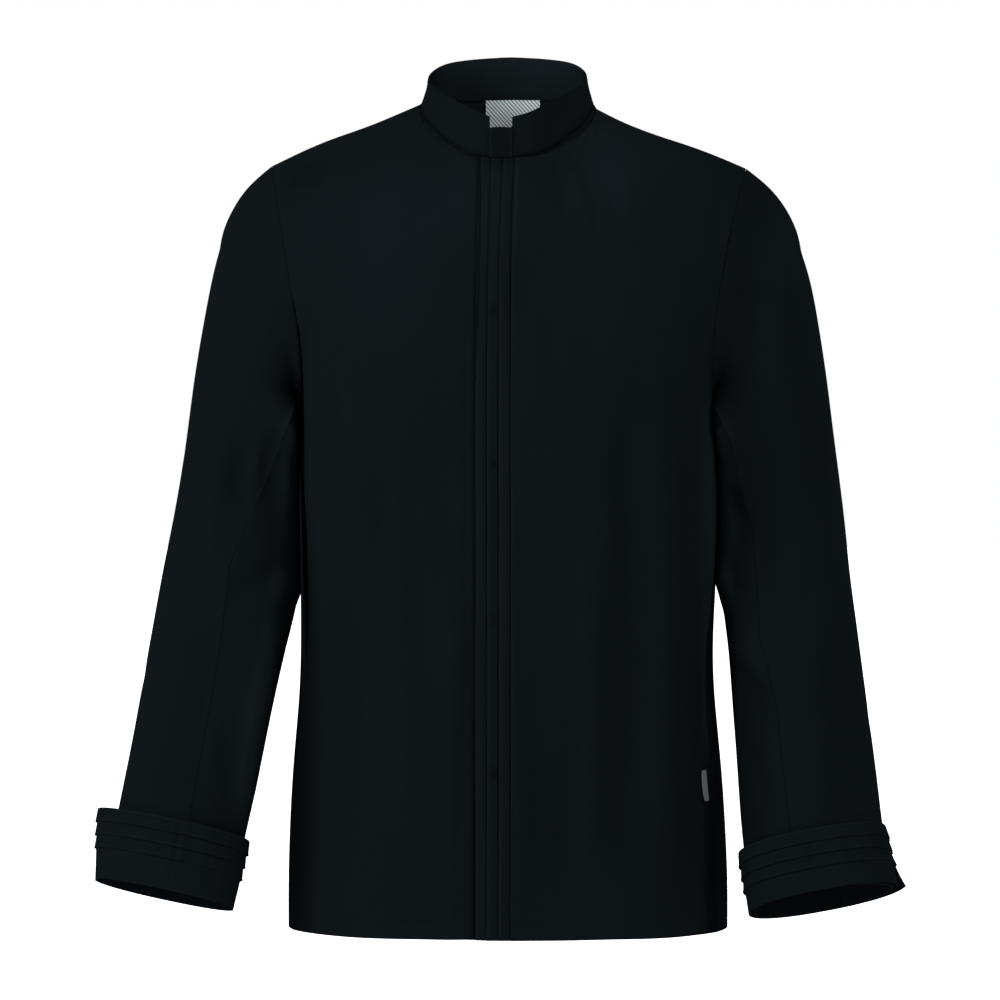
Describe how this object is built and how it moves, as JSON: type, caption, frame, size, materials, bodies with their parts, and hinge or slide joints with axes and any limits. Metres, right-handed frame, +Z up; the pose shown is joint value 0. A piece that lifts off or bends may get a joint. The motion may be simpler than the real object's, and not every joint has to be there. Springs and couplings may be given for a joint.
{
  "type": "chef jacket",
  "caption": "Black long-sleeved chef jacket with stand collar, tucked concealed front band and turned-back tucked cuffs, in its worn form.",
  "frame": {"origin": "centre of the neck base, at the height of the shoulder-neck points", "axes": "+Z up towards the collar, -Y out of the front fastening, +X towards the wearer's left sleeve"},
  "size_m": [0.7372, 0.2921, 0.8115],
  "materials": {
    "cloth": "matt",
    "label": "satin",
    "flag": "satin"
  },
  "bodies": {
    "root": {"front_left": "cloth", "front_right": "cloth", "back": "cloth", "sleeve_top_left": "cloth", "sleeve_under_left": "cloth", "sleeve_top_right": "cloth", "sleeve_under_right": "cloth", "cuff_left": "cloth", "cuff_right": "cloth", "collar": "cloth", "collar_tab": "cloth", "neck_label": "label", "side_label": "flag"}
  },
  "joints": []
}
